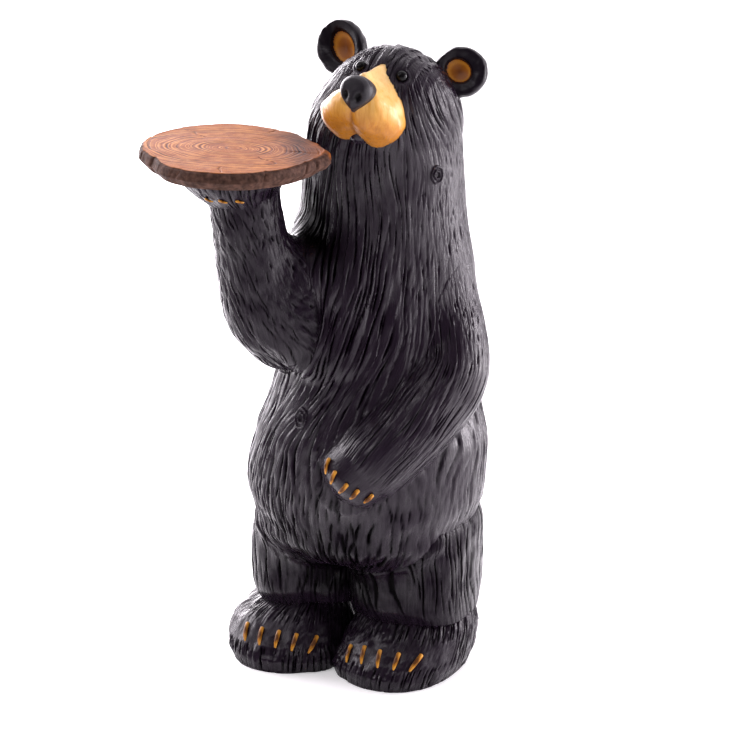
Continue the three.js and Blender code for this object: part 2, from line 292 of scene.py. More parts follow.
def closedPiece(name, points, width, along, masks, material, node="bear", slot="bear_paint"):
    # A closed skin from rings of points, where the first and the last ring are one point each: quads
    # between the rings and triangles round both poles, turned outward. The UV map has mm round the form,
    # width in all, and mm along it, and each mask becomes an attribute.
    rows, around = points.shape[:2]
    across = np.linspace(0, width, around + 1)
    j = np.arange(around)
    after = (j + 1) % around
    ring = (np.arange(rows - 2) * around)[:, None]
    quads = np.stack([ring[:-1] + j, ring[:-1] + after, ring[1:] + after, ring[1:] + j], axis=-1)
    first, last = (rows - 2) * around, (rows - 2) * around + 1
    caps = np.concatenate(
        [
            np.stack([j * 0 + first, after, j], axis=-1),
            np.stack([j * 0 + last, ring[-1] + j, ring[-1] + after], axis=-1),
        ]
    )
    u = np.broadcast_to(np.stack([across[:-1], across[1:], across[1:], across[:-1]], -1), quads.shape)
    v = np.stack([along[1:-2], along[1:-2], along[2:-1], along[2:-1]], -1)[:, None] + 0 * u
    middle = (across[:-1] + across[1:]) / 2
    capU = np.concatenate(
        [np.stack([middle, across[1:], across[:-1]], -1), np.stack([middle, across[:-1], across[1:]], -1)]
    )
    capV = np.repeat([[along[0], along[1], along[1]], [along[-1], along[-2], along[-2]]], around, axis=0)
    verts = np.concatenate([points[1:-1].reshape(-1, 3), points[0, :1], points[-1, :1]]) * mm
    p = verts[quads.reshape(-1, 4)]
    volume = np.sum(p[:, 0] * np.cross(p[:, 1], p[:, 2]) + p[:, 0] * np.cross(p[:, 2], p[:, 3]))
    if volume < 0:
        quads, u, v, caps, capU, capV = [a[..., ::-1] for a in (quads, u, v, caps, capU, capV)]
    corners = np.concatenate([quads.ravel(), caps.ravel()]).astype(np.int32)
    uv = np.concatenate(
        [np.stack([u, v], -1).reshape(-1, 2), np.stack([capU, capV], -1).reshape(-1, 2)]
    ).astype(np.float32)
    quadCount = quads.size // 4
    starts = np.concatenate([np.arange(quadCount) * 4, quadCount * 4 + np.arange(len(caps)) * 3])
    mesh = bpy.data.meshes.new(name)
    mesh.vertices.add(len(verts))
    mesh.vertices.foreach_set("co", verts.astype(np.float32).ravel())
    mesh.loops.add(len(corners))
    mesh.loops.foreach_set("vertex_index", corners)
    mesh.polygons.add(len(starts))
    mesh.polygons.foreach_set("loop_start", starts.astype(np.int32))
    mesh.update(calc_edges=True)
    mesh.validate()
    mesh.uv_layers.new(name="strokes").data.foreach_set("uv", uv.ravel())
    for key, field in masks.items():
        values = np.concatenate([field[1:-1].ravel(), [field[0].mean(), field[-1].mean()]])
        mesh.attributes.new(key, "FLOAT", "POINT").data.foreach_set("value", values.astype(np.float32))
    mesh.polygons.foreach_set("use_smooth", np.ones(len(starts), bool))
    mesh.set_sharp_from_angle(angle=sharpEdge)
    mesh.materials.append(material)
    piece = bpy.data.objects.new(name, mesh)
    bpy.context.scene.collection.objects.link(piece)
    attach(piece, "root")
    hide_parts(node)
    return piece


def linear(hexColour):
    # sRGB hex to linear light
    parts = [int(hexColour[i : i + 2], 16) / 255 for i in (1, 3, 5)]
    return [c / 12.92 if c <= 0.04045 else ((c + 0.055) / 1.055) ** 2.4 for c in parts] + [1]


def addNode(tree, kind, settings=None, links=None):
    # settings: the node's own properties, its sockets' values or a ramp's stops; links: socket to output
    node = tree.nodes.new(kind)
    for key, value in (settings or {}).items():
        if key == "stops":
            elements = node.color_ramp.elements
            while len(elements) < len(value):
                elements.new(0.5)
            for element, (position, colour) in zip(elements, value):
                element.position, element.color = position, linear(colour)
        elif isinstance(key, str) and hasattr(node, key) and key not in node.inputs:
            setattr(node, key, value)
        else:
            node.inputs[key].default_value = value
    for key, output in (links or {}).items():
        tree.links.new(output, node.inputs[key])
    return node


def newMaterial(name):
    # a material with an empty node tree
    material = bpy.data.materials.new(name)
    material.use_nodes = True
    material.node_tree.nodes.clear()
    return material, material.node_tree


# Acrylic paint on resin: the piece's field sets the colour along the stops. On the black paint a higher
# field is darker and less glossy: painted shade in the grooves and hollows, under the belly, on and between
# the legs and beside the raised arm, and the forearm, shoulder and feet are set a little darker as well.
# "gloss" is the specular level in the grooves and on the flats, "patches" is how unevenly the varnish
# lies, "streak" is in mm across and along a stroke, and the two heights are mm of relief.
blackPaint = {
    "field": "groove",
    "stops": [(0.05, "#1c131e"), (0.4, "#140d16"), (0.85, "#020102")],
    "vary": 0.4,
    "streak": (1.7, 24),
    "streakHeight": 0.5,
    "grainHeight": 0.11,
    "gloss": (0.02, 0.52),
    "patches": 1.4,
    "roughness": (0.15, 0.32),
}
earPaint = {
    "field": "inner",
    "stops": [
        (0.05, "#7c4415"),
        (0.3, "#9a5a18"),
        (0.42, "#bb7a25"),
        (0.485, "#9c5f1c"),
        (0.495, "#120c14"),
    ],
    "vary": 0.04,
    "streak": (3, 12),
    "streakHeight": 0.3,
    "grainHeight": 0.05,
    "gloss": (0.2, 0.36),
    "patches": 0.4,
    "roughness": (0.26, 0.4),
}
ochrePaint = {
    "field": "wash",
    "stops": [(0, "#e2ba78"), (0.3, "#cc9644"), (0.6, "#b07228"), (1, "#704218")],
    "vary": 0.24,
    "streak": (4, 4, 26),  # three sizes run straight up, whatever way the strokes go
    "streakHeight": 0.1,
    "grainHeight": 0.04,
    "gloss": (0.3, 0.42),
    "patches": 0.3,
    "roughness": (0.24, 0.36),
}
clawPaint = {
    "field": "wash",
    "stops": [(0, "#e2a945"), (0.4, "#b67824"), (0.9, "#5a3410")],
    "vary": 0.6,
    "streak": (1.2, 9),
    "streakHeight": 0.1,
    "grainHeight": 0.03,
    "gloss": (0.2, 0.4),
    "patches": 0.2,
    "roughness": (0.25, 0.35),
}
nosePaint = {
    "field": "groove",
    "stops": [(0.1, "#1b171d"), (0.6, "#0b090c")],
    "vary": 0.3,
    "streak": (3, 3),
    "streakHeight": 0.2,
    "grainHeight": 0.09,
    "gloss": (0.1, 0.42),
    "patches": 0.8,
    "roughness": (0.36, 0.5),
}


def painted(name, look):
    # The piece's own field sets its colour along the stops: on the black paint it carries painted shade, on
    # the muzzle a painted highlight among its other tones, and on an ear painted light and shade across the
    # dish. Streaks run along the strokes, or straight up where three sizes are given, and show in colour,
    # gloss and relief, with a fine grain over them. Patches of thicker and thinner varnish, about 36 mm
    # wide, make the sheen uneven.
    material, tree = newMaterial(name)
    place = addNode(tree, "ShaderNodeTexCoord").outputs["Object"]
    field = addNode(tree, "ShaderNodeAttribute", {"attribute_name": look["field"]})
    if len(look["streak"]) == 3:
        scale, source = [1 / (size * mm) for size in look["streak"]], place
    else:
        scale = (1 / look["streak"][0], 1 / look["streak"][1], 1)
        source = addNode(tree, "ShaderNodeUVMap", {"uv_map": "strokes"}).outputs["UV"]
    stretched = addNode(tree, "ShaderNodeMapping", {"Scale": scale}, {"Vector": source})
    streaks = addNode(
        tree,
        "ShaderNodeTexNoise",
        {"Scale": 1, "Detail": 3, "Roughness": 0.6},
        {"Vector": stretched.outputs[0]},
    )
    shift = addNode(
        tree,
        "ShaderNodeMapRange",
        {"From Min": 0.3, "From Max": 0.7, "To Min": -look["vary"] / 2, "To Max": look["vary"] / 2},
        {"Value": streaks.outputs["Fac"]},
    )
    tone = addNode(
        tree, "ShaderNodeMath", {"operation": "ADD"}, {0: field.outputs["Fac"], 1: shift.outputs[0]}
    )
    colour = addNode(tree, "ShaderNodeValToRGB", {"stops": look["stops"]}, {"Fac": tone.outputs[0]})
    rough = addNode(
        tree,
        "ShaderNodeMapRange",
        {"From Min": 0.3, "From Max": 0.7, "To Min": look["roughness"][0], "To Max": look["roughness"][1]},
        {"Value": streaks.outputs["Fac"]},
    )
    patches = addNode(tree, "ShaderNodeTexNoise", {"Scale": 28, "Detail": 3}, {"Vector": place})
    coat = addNode(
        tree,
        "ShaderNodeMath",
        {"operation": "MULTIPLY_ADD", 1: look["patches"]},
        {0: patches.outputs["Fac"], 2: tone.outputs[0]},
    )
    gloss = addNode(
        tree,
        "ShaderNodeMapRange",
        {
            "From Min": look["patches"] * 0.3 - 0.1,
            "From Max": look["patches"] * 0.6 + 0.6,
            "To Min": look["gloss"][1],
            "To Max": look["gloss"][0],
        },
        {"Value": coat.outputs[0]},
    )
    grain = addNode(tree, "ShaderNodeTexNoise", {"Scale": 1 / (2.2 * mm), "Detail": 2}, {"Vector": place})
    fine = addNode(
        tree,
        "ShaderNodeBump",
        {"Strength": 1, "Distance": look["grainHeight"] * mm},
        {"Height": grain.outputs["Fac"]},
    )
    bump = addNode(
        tree,
        "ShaderNodeBump",
        {"Strength": 1, "Distance": look["streakHeight"] * mm},
        {"Height": streaks.outputs["Fac"], "Normal": fine.outputs[0]},
    )
    shader = addNode(
        tree,
        "ShaderNodeBsdfPrincipled",
        {"IOR": 1.42},
        {
            "Base Color": colour.outputs["Color"],
            "Roughness": rough.outputs[0],
            "Specular IOR Level": gloss.outputs[0],
            "Normal": bump.outputs[0],
        },
    )
    addNode(tree, "ShaderNodeOutputMaterial", links={"Surface": shader.outputs[0]})
    return material


def beadGlass():
    # polished black bead: one sharp highlight on a colour that is nearly black
    material, tree = newMaterial("blackBead")
    place = addNode(tree, "ShaderNodeTexCoord")
    cloud = addNode(
        tree,
        "ShaderNodeTexNoise",
        {"Scale": 1 / (6.25 * mm), "Detail": 2},
        {"Vector": place.outputs["Object"]},
    )
    colour = addNode(
        tree,
        "ShaderNodeValToRGB",
        {"stops": [(0.35, "#030203"), (0.65, "#0a080a")]},
        {"Fac": cloud.outputs["Fac"]},
    )
    shader = addNode(
        tree,
        "ShaderNodeBsdfPrincipled",
        {"IOR": 1.5, "Roughness": 0.05, "Specular IOR Level": 0.14},
        {"Base Color": colour.outputs["Color"]},
    )
    addNode(tree, "ShaderNodeOutputMaterial", links={"Surface": shader.outputs[0]})
    return material


woodLook = {
    "pith": (-0.108, -0.165),  # m
    "oval": (0.78, 1.15),  # how the rings are squeezed along x and along y
    "ring": 0.0029,  # m from one ring to the next, a little wider than in real wood
    "wander": 0.016,  # m by which the rings leave their ovals
    "near": [(0.2, "#2e1106"), (0.5, "#733919"), (0.75, "#9c5627"), (1, "#c68649")],
    # the darker colours toward the bear and in the cracks: partly a darker stain, partly painted shade
    "far": [(0.3, "#150805"), (0.55, "#3d1b0d"), (1, "#683519")],
    "bark": [(0.3, "#30211b"), (0.5, "#46322a"), (0.7, "#5c4238")],
    "worn": "#a3602f",
}


def stainedSlice(look):
    # Resin painted as a slice of wood: rings round an off-centre pith, brown in the rings, darker toward
    # the bear, partly as a darker stain and partly as painted shade of the bear, darker in the cracks as
    # painted shade, and grey-brown bark round the edge where the bark field is 1. The face is nearly matt,
    # so the eye sees the rings and hardly a reflection.
    # The rings wander by a noise of 50 mm, and the stain is mottled at 18 mm and chipped at 7 mm.
    material, tree = newMaterial("stainedWoodSlice")
    place = addNode(tree, "ShaderNodeTexCoord").outputs["Object"]
    across, along = look["oval"]
    centred = addNode(
        tree,
        "ShaderNodeMapping",
        {"Location": (-look["pith"][0] * across, -look["pith"][1] * along, 0), "Scale": (across, along, 0)},
        {"Vector": place},
    )
    reach = addNode(tree, "ShaderNodeVectorMath", {"operation": "LENGTH"}, {0: centred.outputs[0]})
    wander = addNode(tree, "ShaderNodeTexNoise", {"Scale": 1 / (50 * mm), "Detail": 3}, {"Vector": place})
    bent = addNode(
        tree,
        "ShaderNodeMath",
        {"operation": "MULTIPLY_ADD", 1: look["wander"]},
        {0: wander.outputs["Fac"], 2: reach.outputs["Value"]},
    )
    rings = addNode(
        tree,
        "ShaderNodeTexNoise",
        {"noise_dimensions": "1D", "Scale": 1 / look["ring"], "Detail": 3, "Roughness": 0.5},
        {"W": bent.outputs[0]},
    )
    mottle = addNode(
        tree, "ShaderNodeTexNoise", {"Scale": 55, "Detail": 6, "Roughness": 0.65}, {"Vector": place}
    )
    chips = addNode(tree, "ShaderNodeTexNoise", {"Scale": 150, "Detail": 4}, {"Vector": place})
    banded = addNode(
        tree,
        "ShaderNodeMapRange",
        {"From Min": 0.28, "From Max": 0.72, "To Min": -0.18, "To Max": 0.66},
        {"Value": rings.outputs["Fac"]},
    )
    tone = addNode(
        tree, "ShaderNodeMath", {"operation": "ADD"}, {0: banded.outputs[0], 1: mottle.outputs["Fac"]}
    )
    near, far, bark = [
        addNode(tree, "ShaderNodeValToRGB", {"stops": look[stops]}, {"Fac": source}).outputs["Color"]
        for stops, source in (
            ("near", tone.outputs[0]),
            ("far", tone.outputs[0]),
            ("bark", chips.outputs["Fac"]),
        )
    ]
    deep, edge, worn = [
        addNode(tree, "ShaderNodeAttribute", {"attribute_name": field}).outputs["Fac"]
        for field in ("deep", "bark", "worn")
    ]
    rubbed = addNode(
        tree,
        "ShaderNodeMath",
        {"operation": "MULTIPLY", "use_clamp": True},
        {0: worn, 1: mottle.outputs["Fac"]},
    )
    face = addNode(tree, "ShaderNodeMix", {"data_type": "RGBA"}, {0: deep, 6: near, 7: far})
    whole = addNode(tree, "ShaderNodeMix", {"data_type": "RGBA"}, {0: edge, 6: face.outputs[2], 7: bark})
    edged = addNode(
        tree,
        "ShaderNodeMix",
        {"data_type": "RGBA", 7: linear(look["worn"])},
        {0: rubbed.outputs[0], 6: whole.outputs[2]},
    )
    relief = addNode(
        tree, "ShaderNodeBump", {"Strength": 1, "Distance": 0.9 * mm}, {"Height": rings.outputs["Fac"]}
    )
    crumb = addNode(
        tree,
        "ShaderNodeBump",
        {"Strength": 1, "Distance": 0.3 * mm},
        {"Height": chips.outputs["Fac"], "Normal": relief.outputs[0]},
    )
    rough = addNode(tree, "ShaderNodeMapRange", {"To Min": 0.6, "To Max": 0.75}, {"Value": edge})
    shader = addNode(
        tree,
        "ShaderNodeBsdfPrincipled",
        {"IOR": 1.45, "Specular IOR Level": 0.1},
        {"Base Color": edged.outputs[2], "Roughness": rough.outputs[0], "Normal": crumb.outputs[0]},
    )
    addNode(tree, "ShaderNodeOutputMaterial", links={"Surface": shader.outputs[0]})
    return material


blackFur = painted("satinBlackPaint", blackPaint)  # satin varnish: a soft sheen on ridges, none in grooves
earSkin = painted("earPaint", earPaint)  # brown in the dish, darker in its middle and at its rim, with painted light and shade across it
ochre = painted("ochrePaint", ochrePaint)  # honey, lighter on top and darker low down, with a painted highlight on the bear's right side, under a satin coat
clawOchre = painted("clawPaint", clawPaint)  # a gold stroke with brown in its middle
noseBlack = painted("nosePaint", nosePaint)  # duller than the fur, so the nose looks like leather
bead = beadGlass()
woodSlice = stainedSlice(woodLook)
print("materials made")

# rows of the trunk: height, middle x and y, half width, depth to the front and depth to the back
trunk = {
    "rows": [
        [212, 5, -6, 144, 150, 118],
        [250, 5, -8, 159, 158, 124],
        [290, 9, -10, 160, 161, 128],
        [330, 15, -10, 154, 158, 128],
        [375, 18, -8, 139, 150, 124],
        [440, 16, -4, 126, 134, 118],
        [500, 17, 0, 120, 120, 112],
        [560, 19, 2, 115, 110, 106],
        [620, 22, 4, 110, 104, 102],
        [680, 24, 2, 104, 99, 100],
        [725, 27, -2, 100, 96, 98],
    ],
    "caps": (62, 121),  # mm of rounding below and above the rows
    "capPower": 1.02,  # above 1 makes the dome a little more pointed
    "lean": (0.24, -0.26),  # how far the dome leans to the left and to the front, for each mm up
    "tilt": (0.1, 0),  # how much lower the dome ends on its left
    "counts": (16, 116, 46),  # rings in the lower cap, the body and the dome
    "around": 560,  # points in a ring
    "columns": 96,  # strokes side by side
    "stroke": 8.125,  # mm wide
    "cut": {"length": 50, "width": 0.32, "depth": 3.5, "tip": 1.8, "step": 1.5, "wave": 1.6, "broad": 2.2},
    "fineColumns": 144,
    "fineCut": {"length": 30, "width": 0.4, "depth": 2.4, "tip": 1.0, "step": 0.7},
    "sweep": 0.5,  # how far the strokes swing to the bear's right on their way down the belly, radians
}

# rows of a path: x, y, z, half across and half the other way
arms = {
    "left": {
        "path": [
            [48, 9, 632, 24, 25],
            [88, 3, 550, 47, 48],
            [118, -12, 480, 51, 52],
            [134, -41, 430, 52, 51],
            [110, -97, 378, 53, 51],
            [70, -138, 334, 51, 51],
            [44, -154, 308, 46, 45],
        ],
        "across": (0.7, 0.7, 0),  # the way that the first half width is measured
        "caps": (34, 26),
        "counts": (10, 130, 26),
        "around": 340,
        "columns": 72,
        "stroke": 5,
        "cut": {
            "length": 46,
            "width": 0.3,
            "depth": 1.5,
            "tip": 0.7,
            "step": 0.5,
            "wave": 1.6,
            "broad": 1.2,
        },
        "smoothFrom": 397,  # mm along, where the paw begins
    },
    "shoulder": {
        "path": [[-40, 0, 576, 50, 54], [-70, -50, 534, 56, 59], [-77, -98, 492, 50, 52]],
        "dull": 0.16,  # darker and less glossy all over
        "caps": (40, 40),
        "counts": (8, 40, 16),
        "around": 200,
        "columns": 48,
        "stroke": 5,
        "cut": {
            "length": 22,
            "width": 0.24,
            "depth": 1.2,
            "tip": 1.0,
            "step": 0.8,
            "wave": 1.8,
            "broad": 1.6,
        },
    },
    "right": {
        "path": [
            [-71, -112, 474, 43, 45],
            [-82, -132, 510, 51, 50],
            [-88, -144, 560, 50, 50],
            [-92, -152, 610, 47, 46],
            [-95.5, -159, 656, 45, 45],
            [-97, -161, 680, 46, 47],
        ],
        "dull": 0.22,
        "caps": (40, 8),
        "counts": (22, 100, 4),
        "around": 320,
        "columns": 48,
        "stroke": 5,
        "cut": {
            "length": 17,
            "width": 0.18,
            "depth": 1.1,
            "tip": 0.9,
            "step": 0.8,
            "wave": 1.8,
            "broad": 2.2,
            "lean": 0.05,  # columns aside for each mm along
        },
    },
}

# rows as the trunk's; the right leg's hem is lifted in front by "lift"
legs = {
    "right": {
        "rows": [
            [79, -70, 4, 76, 74, 76],
            [97, -71, 4, 83, 85, 88],
            [130, -71, 4, 87, 89, 95],
            [165, -69, 2, 86, 91, 97],
            [200, -65, 0, 81, 92, 98],
        ],
        "caps": (8, 60),
        "lift": 10,
    },
    "left": {
        "rows": [
            [79, 70, 4, 80, 74, 76],
            [97, 69, 4, 82, 85, 90],
            [130, 69, 4, 83, 89, 96],
            [200, 68, 0, 85, 92, 98],
        ],
        "caps": (8, 60),
    },
}


def headFrame(centre, yaw, pitch, roll):
    # The head's middle and its axes as rows: to the bear's left, up, and straight ahead. Yaw turns it,
    # pitch lifts it and roll tips it, each by the sine and cosine of its angle.
    y, p, r = [math.radians(a) for a in (yaw, pitch, roll)]
    ahead = np.array([math.sin(y) * math.cos(p), -math.cos(y) * math.cos(p), math.sin(p)])
    level = np.array([math.cos(y), math.sin(y), 0])
    upright = np.cross(ahead, level)
    left = level * math.cos(r) - upright * math.sin(r)
    up = upright * math.cos(r) + level * math.sin(r)
    return np.array(centre, float), np.array([left, up, ahead])


headCentre, headAxes = headFrame((36, 0, 762), yaw=3, pitch=18, roll=8)


def onHead(points):
    # from mm left, up and ahead of the head's middle to x, y and z
    return headCentre + points @ headAxes


def boxMiddle(node):
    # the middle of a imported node's box
    low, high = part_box(node)
    return np.array((low + high) / 2) / mm


eyeMiddles = [boxMiddle("eye_right"), boxMiddle("eye_left")]
knots = [(63, 690, (11, 15)), (-18, 379, (11, 18))]  # degrees round the trunk, height, half sizes


def flank(points):
    # 1 on the bear's left side from the elbow to the neck, which was planed almost smooth
    z = points[..., 2]
    return smooth(0.48, 0.74, outward(points)[..., 0]) * smooth(395, 470, z) * smooth(770, 700, z)


# short deep nicks, few and far between, that take the strokes' place on the flank
flankPits = {"length": 14, "width": 0.42, "depth": 4.0, "tip": 0.2, "step": 0.2, "often": -0.3}


def trunkGap(points):
    # how far each point is from the trunk's skin
    return columnGap(points, trunk)


def leftArmGap(points):
    # how far each point is from the left arm's skin
    return limbGap(points, arms["left"])


def rightArmGap(points):
    # how far each point is from the raised forearm and its shoulder, with a fillet between the two
    return blended(limbGap(points, arms["right"]), limbGap(points, arms["shoulder"]), 36)


def legGap(points):
    # how far each point is from the nearer leg
    return np.minimum(columnGap(points, legs["right"]), columnGap(points, legs["left"]))


def webReach(points):
    # The forearm runs into the body with a wide soft web below the gap between them. It stays narrow
    # above, under the elbow and on the outer side, where the arm keeps its own outline.
    x, y, z = np.moveaxis(points, -1, 0)
    aside = x - 0.8 * np.maximum(0, 520 - z) - 28 * smooth(505, 565, z)
    inner = smooth(-128, -72, aside) * (0.3 + 0.7 * smooth(-190, -140, y))
    return 16 + 96 * smooth(662, 560, z) * smooth(400, 455, z) * inner


def leftReach(points):
    # the upper arm grows out of the shoulder softly, and the forearm lies on the belly with a crease
    return 7 + 15 * smooth(430, 510, points[..., 2]) + 18 * smooth(510, 570, points[..., 2])


def hipReach(points):
    # the belly hangs over the legs in front with a wide soft hollow below it
    return 1 + 42 * smooth(-45, -95, points[..., 1])


def faceHollows(points, left, up, ahead):
    # mm of relief: a crease from the top of the muzzle up the brow, beside a low ridge, and round each
    # eye a socket with a low brow above it
    crease = left - 14 - 0.5 * (up - 50)
    hollow = (1.6 * bell(crease + 8, 6) - 2.8 * bell(crease, 3)) * smooth(92, 74, up)
    hollow = hollow * smooth(30, 45, up) * smooth(20, 50, ahead)
    for eye in eyeMiddles:
        brow = eye + 15 * headAxes[1]
        hollow -= 5 * bell(np.linalg.norm(points - eye, axis=-1), 11.5)
        hollow += 3.2 * bell(np.linalg.norm(points - brow, axis=-1), 11)
    return hollow


def bareSpots(points):
    # how much of the strokes is left: none at the eyes and on the knots
    kept = 1
    for eye in eyeMiddles:
        kept = kept * smooth(8, 19, np.linalg.norm(points - eye, axis=-1))
    for degrees, level, half in knots:
        near = np.linalg.norm(points - skin(trunk, degrees, level)[0], axis=-1)
        kept = kept * smooth(half[0] - 1, half[1] + 4, near)
    return kept


def trunkStrokes(form, psi, along, scale, z, left, ahead):
    # The trunk's strokes: long ones all over, ones that run back from the brow over the crown, and finer
    # ones that split them where the belly is widest. Each kind is mixed in by its own share. Height in mm
    # and how far down a groove.
    height, groove = strokes(form, psi, along, 11)
    crown = smooth(0.9, 0.55, scale) * (z > form["rows"][-1][0])
    back = 60 + left / 5.4 + 0.9 * softNoise(left / 30, ahead / 40, 3)
    top, topGroove = gouged(back, ahead + 200, form["columns"], form["cut"], 12)
    height, groove = height + crown * (1.15 * top - height), groove + crown * (topGroove - groove)
    low = smooth(330, 270, z)
    x, y = unrolled(psi, along, form["fineColumns"])
    fine, fineGroove = gouged(x, y, form["fineColumns"], form["fineCut"], 19)
    return (1 - 0.5 * low) * height + low * fine, np.maximum((1 - 0.5 * low) * groove, low * fineGroove)


def makeTrunk(form):
    # Trunk and head as one skin. The angle is psi less a share of its sine, so that strokes crowd
    # together in front, and less a sweep that falls off with the fourth power of psi.
    psi = turns(form["around"])
    place, scale, past = sections(form["rows"][0][0], form["rows"][-1][0], form["caps"], form["counts"])
    z = (place + past)[:, None]
    sweep = form["sweep"] * (1 - smooth(330, 500, z)) * np.exp(-(((psi + 0.2) / 1.35) ** 4))
    theta = psi - (0.18 + 0.27 * smooth(690, 820, z)) * np.sin(psi) - sweep
    points = column(form, theta, place, scale, past)
    along, scale = runAlong(points), scale[:, None]
    left, up, ahead = np.moveaxis((points - headCentre) @ headAxes.T, -1, 0)
    height, groove = trunkStrokes(form, psi, along[:, None], scale, z, left, ahead)
    hollow = faceHollows(points, left, up, ahead)
    fade = (0.7 + 0.45 * smooth(600, 540, z) - 0.15 * smooth(470, 430, z)) * smooth(0.03, 0.22, scale)
    fade = fade * bareSpots(points)
    for gap, reach in ((rightArmGap, webReach), (leftArmGap, leftReach), (legGap, hipReach)):
        points = fused(points, trunkGap, gap, reach)
    side = flank(points)
    x, y = unrolled(psi, along[:, None], form["fineColumns"])
    pits, pitted = gouged(x, y, form["fineColumns"], flankPits, 23)
    height, groove = height + side * (0.25 * height + pits - height), groove + side * (pitted - groove)
    # softer at the left shoulder, beside the raised forearm and at the left hip
    fade = fade * (1 - 0.95 * smooth(530, 560, z) * smooth(24, 3, leftArmGap(points)))
    fade = fade * (1 - 0.65 * smooth(60, 20, rightArmGap(points)) * smooth(555, 590, z))
    fade = fade * (1 - 0.45 * smooth(85, 125, points[..., 0]) * smooth(400, 340, z))
    points = raised(points, height * fade + hollow)
    # painted shade: a darker, less glossy colour under the belly, and beside the raised arm and on the
    # bear's right side above the shoulder, where it dims the reflections
    x, y = points[..., 0], points[..., 1]
    paintedShade = 0.35 * smooth(262, 226, z) * smooth(110, 50, np.abs(x)) * smooth(-40, -80, y)
    normal = outward(points)
    beside = 0.9 * smooth(70, 25, rightArmGap(points)) + 0.7 * smooth(-0.55, -0.85, normal[..., 0])
    paintedShade = paintedShade + beside * smooth(540, 600, z) * smooth(0.05, -0.35, normal[..., 1])
    masks = {"groove": groove * fade + paintedShade}
    return closedPiece("bearTrunk", points, form["columns"] * form["stroke"], along, masks, blackFur)


makeTrunk(trunk)
print("trunk and head carved")

legLook = {
    "dull": 0.36,  # painted shade: the legs are darker and less glossy all over
    "square": 2.7,
    "sag": 9,  # mm that the right leg's hem hangs lower on its outer side
    "counts": (6, 70, 10),
    "around": 340,
    "columns": 72,
    "stroke": 6,
    "cut": {"length": 48, "width": 0.3, "depth": 1.9, "tip": 0.8, "step": 0.8, "wave": 1.3, "broad": 1.6},
}
feet = {
    "right": {
        "rows": [
            [0, -96, -6, 80, 117, 84],
            [18, -98, -6, 87, 117, 88],
            [40, -100, -4, 85, 100, 84],
            [64, -94, 0, 71, 80, 74],
            [84, -82, 4, 48, 62, 60],
        ]
    },
    "left": {
        "rows": [
            [0, 62, -6, 78, 113, 84],
            [18, 64, -6, 84, 115, 88],
            [40, 67, -4, 85, 100, 89],
            [64, 73, 0, 80, 80, 83],
            [84, 76, 4, 71, 64, 72],
        ]
    },
}
footLook = {
    "dull": 0.12,
    "caps": (0, 14),
    "square": 2.3,
    "counts": (1, 80, 12),
    "around": 400,
    "columns": 120,
    "stroke": 6,
    "cut": {"length": 36, "width": 0.34, "depth": 2.4, "tip": 1.1, "step": 0.7, "wave": 0.9, "broad": 1.0},
}


def makeUpright(name, form, seed, fadeOf, extra=None, join=None):
    # A leg, a foot or the palm: level sections with strokes that run down them. fadeOf says how much of
    # the strokes is left at an angle and a height, extra adds mm of relief, and join is the gap and the
    # reach of what the piece grows out of.
    theta = turns(form["around"])
    place, scale, past = sections(form["rows"][0][0], form["rows"][-1][0], form["caps"], form["counts"])
    points = column(form, theta, place, scale, past)
    if join:
        points = fused(points, lambda at: columnGap(at, form), *join)
    along = runAlong(points)
    z = (place + past)[:, None]
    height, groove = strokes(form, theta, along[:, None], seed)
    fade = fadeOf(theta, z) * smooth(0, 0.4, scale)[:, None]
    points = raised(points, height * fade + (extra(theta, z) if extra else 0))
    x, y = points[..., 0], points[..., 1]
    inFront = smooth(-95, -45, x) * smooth(0, -50, y)
    points[..., 2] -= form.get("sag", 0) * smooth(-85, -140, x) * smooth(135, 85, z)
    points[..., 2] += form.get("lift", 0) * inFront * smooth(140, 85, z)
    points[..., 2] = np.maximum(points[..., 2], 0)  # flat soles
    # painted shade: a darker, less glossy colour between the legs in front
    paintedShade = 0.4 * smooth(70, 25, np.abs(x)) * smooth(-30, -60, y) * smooth(80, 120, z)  # between the legs
    masks = {"groove": groove * fade + form.get("dull", 0) + paintedShade}
    return closedPiece(name, points, form["columns"] * form["stroke"], along, masks, blackFur)


def legFade(theta, z):
    # smoother just above the hem, where the leg was rubbed down
    return 0.4 + 0.6 * smooth(85, 130, z) + 0 * theta


def footFade(theta, z):
    # the toes are smooth and polished, with short strokes below them and up toward the leg
    toes = smooth(1.25, 0.95, np.abs(theta - 0.1)) * smooth(27, 33, z) * smooth(64, 54, z)
    return smooth(0, 3, z) * (1 - 0.9 * toes)


def palmFade(theta, z):
    # strokes up to the level top, where the tray lies
    return smooth(707, 700, z) + 0 * theta


def toeLedge(theta, z, inner):
    # a shallow cut under the toes, their low swells as a cosine between the claws, and a full corner on
    # the side of the other foot
    front = smooth(1.5, 1.1, np.abs(theta))
    lumps = 0.7 * softNoise(theta * 9, z / 8, 51) + 0.4 * softNoise(theta * 22, z / 4, 52)
    swells = 0.8 * np.cos(theta * 20) * bell(z - 38, 12)
    corner = 9 * bell(theta - inner, 0.34) * smooth(36, 12, z)
    return front * (swells + lumps - 0.6 * bell(z - 21, 3.5)) + corner


for side, seed, inner in (("right", 41, 1), ("left", 61, -1)):
    leg, foot = {**legLook, **legs[side]}, {**footLook, **feet[side]}
    makeUpright("bearLeg_" + side, leg, seed, legFade, join=(trunkGap, hipReach))
    makeUpright("bearFoot_" + side, foot, seed + 7, footFade, lambda theta, z: toeLedge(theta, z, inner))
print("legs and feet carved")


